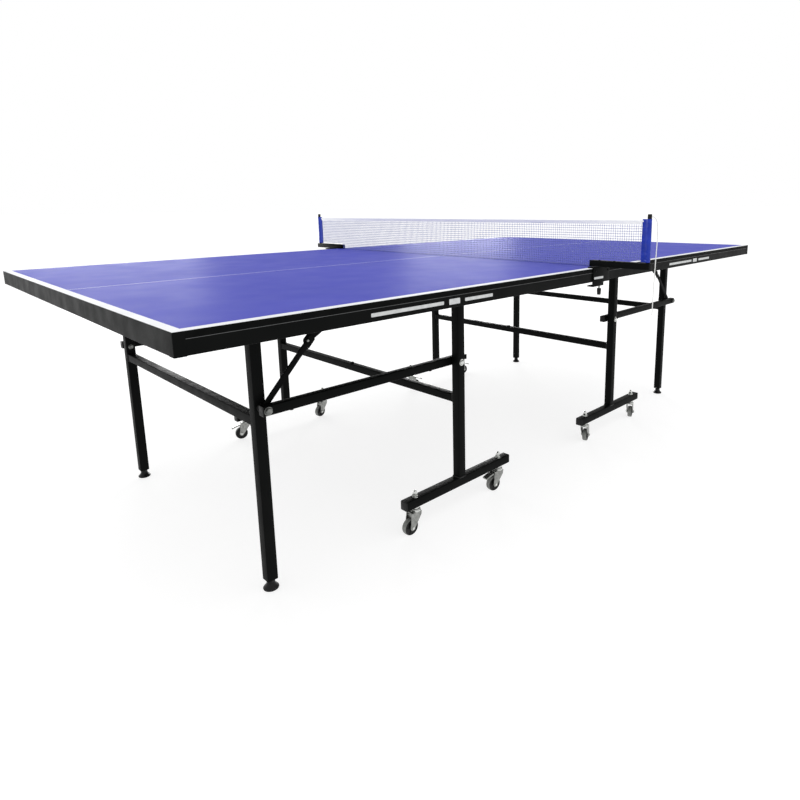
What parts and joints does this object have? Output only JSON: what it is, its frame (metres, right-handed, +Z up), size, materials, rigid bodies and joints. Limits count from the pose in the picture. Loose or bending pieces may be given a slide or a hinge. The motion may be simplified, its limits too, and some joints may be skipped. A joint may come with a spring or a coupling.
{
  "type": "table tennis table",
  "caption": "Roll-away table tennis table in two folding halves on castered frames, with levelling feet, braces and a clamp-on net.",
  "frame": {"origin": "on the floor at the centre of the table, under the net line", "axes": "+X along the table's length, +Y across it, +Z up"},
  "size_m": [2.74, 1.8635, 0.9312],
  "materials": {
    "playing_surface": "satin violet-blue paint with white lines",
    "black_steel": "satin black powder coat",
    "black_plastic": "matte black",
    "zinc_steel": "bright zinc plate",
    "wheel": "grey tread on a black hub",
    "net": "white mesh with a white top tape and blue end sleeves",
    "cord": "white braided cord"
  },
  "bodies": {
    "wheel_frame_a": {"wheel_post_near_a": "black_steel", "wheel_post_far_a": "black_steel", "wheel_crossbar_a": "black_steel", "wheel_base_near_a": "black_steel", "wheel_base_far_a": "black_steel"},
    "top_a": {"board_a": "playing_surface", "apron_a": "black_steel"},
    "end_frame_a": {"end_leg_near_a": "black_steel", "end_leg_far_a": "black_steel", "end_crossbar_a": "black_steel"},
    "foot_near_a": {"foot_near_a": "black_plastic"},
    "link_near_a": {"link_near_a": "black_steel"},
    "brace_near_a": {"brace_near_a": "black_steel"},
    "foot_far_a": {"foot_far_a": "black_plastic"},
    "link_far_a": {"link_far_a": "black_steel"},
    "brace_far_a": {"brace_far_a": "black_steel"},
    "wheel_frame_b": {"wheel_post_near_b": "black_steel", "wheel_post_far_b": "black_steel", "wheel_crossbar_b": "black_steel", "wheel_base_near_b": "black_steel", "wheel_base_far_b": "black_steel"},
    "top_b": {"board_b": "playing_surface", "apron_b": "black_steel"},
    "end_frame_b": {"end_leg_near_b": "black_steel", "end_leg_far_b": "black_steel", "end_crossbar_b": "black_steel"},
    "foot_near_b": {"foot_near_b": "black_plastic"},
    "link_near_b": {"link_near_b": "black_steel"},
    "brace_near_b": {"brace_near_b": "black_steel"},
    "foot_far_b": {"foot_far_b": "black_plastic"},
    "link_far_b": {"link_far_b": "black_steel"},
    "brace_far_b": {"brace_far_b": "black_steel"},
    "caster_near_outer_a": {"caster_fork_near_outer_a": "zinc_steel"},
    "caster_wheel_near_outer_a": {"caster_wheel_near_outer_a": "wheel"},
    "caster_near_inner_a": {"caster_fork_near_inner_a": "zinc_steel"},
    "caster_wheel_near_inner_a": {"caster_wheel_near_inner_a": "wheel"},
    "brake_near_inner_a": {"brake_lever_near_inner_a": "zinc_steel"},
    "caster_far_outer_a": {"caster_fork_far_outer_a": "zinc_steel"},
    "caster_wheel_far_outer_a": {"caster_wheel_far_outer_a": "wheel"},
    "brake_far_outer_a": {"brake_lever_far_outer_a": "zinc_steel"},
    "caster_far_inner_a": {"caster_fork_far_inner_a": "zinc_steel"},
    "caster_wheel_far_inner_a": {"caster_wheel_far_inner_a": "wheel"},
    "caster_near_inner_b": {"caster_fork_near_inner_b": "zinc_steel"},
    "caster_wheel_near_inner_b": {"caster_wheel_near_inner_b": "wheel"},
    "caster_near_outer_b": {"caster_fork_near_outer_b": "zinc_steel"},
    "caster_wheel_near_outer_b": {"caster_wheel_near_outer_b": "wheel"},
    "caster_far_inner_b": {"caster_fork_far_inner_b": "zinc_steel"},
    "caster_wheel_far_inner_b": {"caster_wheel_far_inner_b": "wheel"},
    "brake_far_inner_b": {"brake_lever_far_inner_b": "zinc_steel"},
    "caster_far_outer_b": {"caster_fork_far_outer_b": "zinc_steel"},
    "caster_wheel_far_outer_b": {"caster_wheel_far_outer_b": "wheel"},
    "brake_far_outer_b": {"brake_lever_far_outer_b": "zinc_steel"},
    "net_set": {"net_clamp_near": "black_steel", "net_clamp_far": "black_steel", "net_post_near": "black_plastic", "net_post_far": "black_plastic", "net": "net", "net_cord": "cord"},
    "clamp_screw_near": {"clamp_screw_near": "black_plastic"},
    "clamp_screw_far": {"clamp_screw_far": "black_plastic"}
  },
  "joints": [
    {"name": "tilt_a", "type": "hinge", "parent": "wheel_frame_a", "child": "top_a", "pos_m": [-0.465, 0, 0.7], "axis": [0, 1, 0], "range_deg": [0, 90]},
    {"name": "end_frame_fold_a", "type": "hinge", "parent": "top_a", "child": "end_frame_a", "pos_m": [-1.089, 0, 0.7], "axis": [0, -1, 0], "range_deg": [0, 90]},
    {"name": "foot_height_near_a", "type": "slide", "parent": "end_frame_a", "child": "foot_near_a", "axis": [0, 0, -1], "range_m": [0, 0.012]},
    {"name": "link_fold_near_a", "type": "hinge", "parent": "wheel_frame_a", "child": "link_near_a", "pos_m": [-0.465, -0.54, 0.49], "axis": [0, 1, 0], "range_deg": [0, 90]},
    {"name": "brace_fold_near_a", "type": "hinge", "parent": "end_frame_a", "child": "brace_near_a", "pos_m": [-1.089, -0.467, 0.49], "axis": [0, 1, 0], "range_deg": [0, 135]},
    {"name": "foot_height_far_a", "type": "slide", "parent": "end_frame_a", "child": "foot_far_a", "axis": [0, 0, -1], "range_m": [0, 0.012]},
    {"name": "link_fold_far_a", "type": "hinge", "parent": "wheel_frame_a", "child": "link_far_a", "pos_m": [-0.465, 0.54, 0.49], "axis": [0, 1, 0], "range_deg": [0, 90]},
    {"name": "brace_fold_far_a", "type": "hinge", "parent": "end_frame_a", "child": "brace_far_a", "pos_m": [-1.089, 0.467, 0.49], "axis": [0, 1, 0], "range_deg": [0, 135]},
    {"name": "tilt_b", "type": "hinge", "parent": "wheel_frame_b", "child": "top_b", "pos_m": [0.465, 0, 0.7], "axis": [0, -1, 0], "range_deg": [0, 90]},
    {"name": "end_frame_fold_b", "type": "hinge", "parent": "top_b", "child": "end_frame_b", "pos_m": [1.089, 0, 0.7], "axis": [0, 1, 0], "range_deg": [0, 90]},
    {"name": "foot_height_near_b", "type": "slide", "parent": "end_frame_b", "child": "foot_near_b", "axis": [0, 0, -1], "range_m": [0, 0.012]},
    {"name": "link_fold_near_b", "type": "hinge", "parent": "wheel_frame_b", "child": "link_near_b", "pos_m": [0.465, -0.54, 0.49], "axis": [0, -1, 0], "range_deg": [0, 90]},
    {"name": "brace_fold_near_b", "type": "hinge", "parent": "end_frame_b", "child": "brace_near_b", "pos_m": [1.089, -0.467, 0.49], "axis": [0, -1, 0], "range_deg": [0, 135]},
    {"name": "foot_height_far_b", "type": "slide", "parent": "end_frame_b", "child": "foot_far_b", "axis": [0, 0, -1], "range_m": [0, 0.012]},
    {"name": "link_fold_far_b", "type": "hinge", "parent": "wheel_frame_b", "child": "link_far_b", "pos_m": [0.465, 0.54, 0.49], "axis": [0, -1, 0], "range_deg": [0, 90]},
    {"name": "brace_fold_far_b", "type": "hinge", "parent": "end_frame_b", "child": "brace_far_b", "pos_m": [1.089, 0.467, 0.49], "axis": [0, -1, 0], "range_deg": [0, 135]},
    {"name": "halves_apart", "type": "slide", "parent": "wheel_frame_a", "child": "wheel_frame_b", "axis": [1, 0, 0], "range_m": [0, 0.5]},
    {"name": "swivel_near_outer_a", "type": "hinge", "parent": "wheel_frame_a", "child": "caster_near_outer_a", "pos_m": [-0.655, -0.54, 0.0782], "axis": [0, 0, 1], "continuous": true},
    {"name": "roll_near_outer_a", "type": "hinge", "parent": "caster_near_outer_a", "child": "caster_wheel_near_outer_a", "pos_m": [-0.67699, -0.53923, 0.025], "axis": [-0.0349, -0.9994, 0], "continuous": true},
    {"name": "swivel_near_inner_a", "type": "hinge", "parent": "wheel_frame_a", "child": "caster_near_inner_a", "pos_m": [-0.275, -0.54, 0.0782], "axis": [0, 0, 1], "continuous": true},
    {"name": "roll_near_inner_a", "type": "hinge", "parent": "caster_near_inner_a", "child": "caster_wheel_near_inner_a", "pos_m": [-0.29679, -0.53694, 0.025], "axis": [-0.1392, -0.9903, 0], "continuous": true},
    {"name": "brake_near_inner_a", "type": "hinge", "parent": "caster_near_inner_a", "child": "brake_near_inner_a", "pos_m": [-0.29233, -0.53756, 0.061], "axis": [0.1392, 0.9903, 0], "range_deg": [0, 20]},
    {"name": "swivel_far_outer_a", "type": "hinge", "parent": "wheel_frame_a", "child": "caster_far_outer_a", "pos_m": [-0.655, 0.54, 0.0782], "axis": [0, 0, 1], "continuous": true},
    {"name": "roll_far_outer_a", "type": "hinge", "parent": "caster_far_outer_a", "child": "caster_wheel_far_outer_a", "pos_m": [-0.67567, 0.54752, 0.025], "axis": [-0.342, -0.9397, 0], "continuous": true},
    {"name": "brake_far_outer_a", "type": "hinge", "parent": "caster_far_outer_a", "child": "brake_far_outer_a", "pos_m": [-0.67144, 0.54599, 0.061], "axis": [0.342, 0.9397, 0], "range_deg": [0, 20]},
    {"name": "swivel_far_inner_a", "type": "hinge", "parent": "wheel_frame_a", "child": "caster_far_inner_a", "pos_m": [-0.275, 0.54, 0.0782], "axis": [0, 0, 1], "continuous": true},
    {"name": "roll_far_inner_a", "type": "hinge", "parent": "caster_far_inner_a", "child": "caster_wheel_far_inner_a", "pos_m": [-0.29652, 0.53543, 0.025], "axis": [0.2079, -0.9781, 0], "continuous": true},
    {"name": "swivel_near_inner_b", "type": "hinge", "parent": "wheel_frame_b", "child": "caster_near_inner_b", "pos_m": [0.275, -0.54, 0.0782], "axis": [0, 0, 1], "continuous": true},
    {"name": "roll_near_inner_b", "type": "hinge", "parent": "caster_near_inner_b", "child": "caster_wheel_near_inner_b", "pos_m": [0.29567, -0.53248, 0.025], "axis": [-0.342, 0.9397, 0], "continuous": true},
    {"name": "swivel_near_outer_b", "type": "hinge", "parent": "wheel_frame_b", "child": "caster_near_outer_b", "pos_m": [0.655, -0.54, 0.0782], "axis": [0, 0, 1], "continuous": true},
    {"name": "roll_near_outer_b", "type": "hinge", "parent": "caster_near_outer_b", "child": "caster_wheel_near_outer_b", "pos_m": [0.6754, -0.53176, 0.025], "axis": [-0.3746, 0.9272, 0], "continuous": true},
    {"name": "swivel_far_inner_b", "type": "hinge", "parent": "wheel_frame_b", "child": "caster_far_inner_b", "pos_m": [0.275, 0.54, 0.0782], "axis": [0, 0, 1], "continuous": true},
    {"name": "roll_far_inner_b", "type": "hinge", "parent": "caster_far_inner_b", "child": "caster_wheel_far_inner_b", "pos_m": [0.29405, 0.529, 0.025], "axis": [0.5, 0.866, 0], "continuous": true},
    {"name": "brake_far_inner_b", "type": "hinge", "parent": "caster_far_inner_b", "child": "brake_far_inner_b", "pos_m": [0.29015, 0.53125, 0.061], "axis": [-0.5, -0.866, 0], "range_deg": [0, 20]},
    {"name": "swivel_far_outer_b", "type": "hinge", "parent": "wheel_frame_b", "child": "caster_far_outer_b", "pos_m": [0.655, 0.54, 0.0782], "axis": [0, 0, 1], "continuous": true},
    {"name": "roll_far_outer_b", "type": "hinge", "parent": "caster_far_outer_b", "child": "caster_wheel_far_outer_b", "pos_m": [0.67667, 0.53618, 0.025], "axis": [0.1736, 0.9848, 0], "continuous": true},
    {"name": "brake_far_outer_b", "type": "hinge", "parent": "caster_far_outer_b", "child": "brake_far_outer_b", "pos_m": [0.67223, 0.53696, 0.061], "axis": [-0.1736, -0.9848, 0], "range_deg": [0, 20]},
    {"name": "net_slide", "type": "slide", "parent": "top_a", "child": "net_set", "axis": [-1, 0, 0], "range_m": [0, 0.2515]},
    {"name": "clamp_screw_near", "type": "slide", "parent": "net_set", "child": "clamp_screw_near", "axis": [0, 0, -1], "range_m": [0, 0.0072]},
    {"name": "clamp_screw_far", "type": "slide", "parent": "net_set", "child": "clamp_screw_far", "axis": [0, 0, -1], "range_m": [0, 0.0072]}
  ],
  "couplings": [
    {"joint": "end_frame_fold_a", "follows": "tilt_a", "ratio": 1},
    {"joint": "link_fold_near_a", "follows": "tilt_a", "ratio": 1},
    {"joint": "brace_fold_near_a", "follows": "tilt_a", "ratio": 1.5},
    {"joint": "link_fold_far_a", "follows": "tilt_a", "ratio": 1},
    {"joint": "brace_fold_far_a", "follows": "tilt_a", "ratio": 1.5},
    {"joint": "end_frame_fold_b", "follows": "tilt_b", "ratio": 1},
    {"joint": "link_fold_near_b", "follows": "tilt_b", "ratio": 1},
    {"joint": "brace_fold_near_b", "follows": "tilt_b", "ratio": 1.5},
    {"joint": "link_fold_far_b", "follows": "tilt_b", "ratio": 1},
    {"joint": "brace_fold_far_b", "follows": "tilt_b", "ratio": 1.5},
    {"joint": "net_slide", "follows": "tilt_a", "m_per_rad": 0.16}
  ]
}
